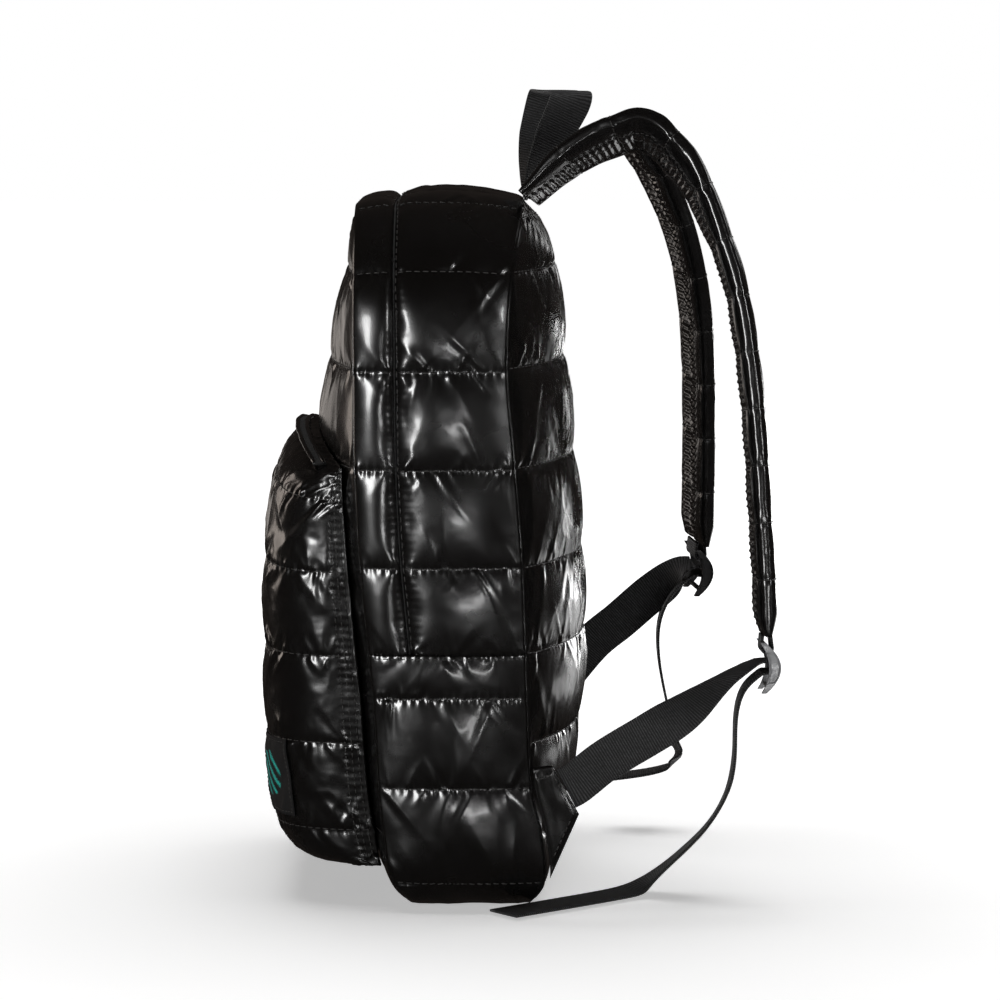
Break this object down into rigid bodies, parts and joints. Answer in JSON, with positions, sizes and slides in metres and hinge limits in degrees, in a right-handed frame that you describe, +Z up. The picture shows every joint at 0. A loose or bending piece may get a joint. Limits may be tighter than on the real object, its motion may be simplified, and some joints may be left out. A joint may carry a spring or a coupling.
{
  "type": "quilted puffer backpack",
  "caption": "Hollow quilted backpack with a puffer front pocket, padded shoulder straps, strap adjusters, webbing and a grab handle.",
  "frame": {"origin": "middle of the flat base, on the surface the bag stands on", "axes": "+Z up along the height, -X towards the front pocket, +X towards the shoulder straps, -Y towards the wearer's right"},
  "size_m": [0.3109, 0.3266, 0.4776],
  "materials": {
    "puffer_nylon": "glossy coated nylon",
    "webbing": "ribbed matte weave",
    "zip_tape": "satin",
    "woven_label": "woven satin",
    "adjuster_plastic": "moulded"
  },
  "bodies": {
    "root": {"front_panel": "puffer_nylon", "back_panel": "puffer_nylon", "gusset_front_strip": "puffer_nylon", "gusset_rear_strip": "puffer_nylon", "lower_gusset": "puffer_nylon", "main_zip": "zip_tape", "front_pocket": "puffer_nylon", "pocket_zip": "zip_tape", "pocket_label": "woven_label", "wing_tab_right": "puffer_nylon", "wing_tab_left": "puffer_nylon", "shoulder_strap_right": "puffer_nylon", "shoulder_strap_left": "puffer_nylon", "adjuster_right": "adjuster_plastic", "adjuster_left": "adjuster_plastic", "strap_loop_right": "webbing", "strap_loop_left": "webbing", "lower_webbing_right": "webbing", "lower_webbing_left": "webbing", "grab_handle": "webbing"}
  },
  "joints": []
}
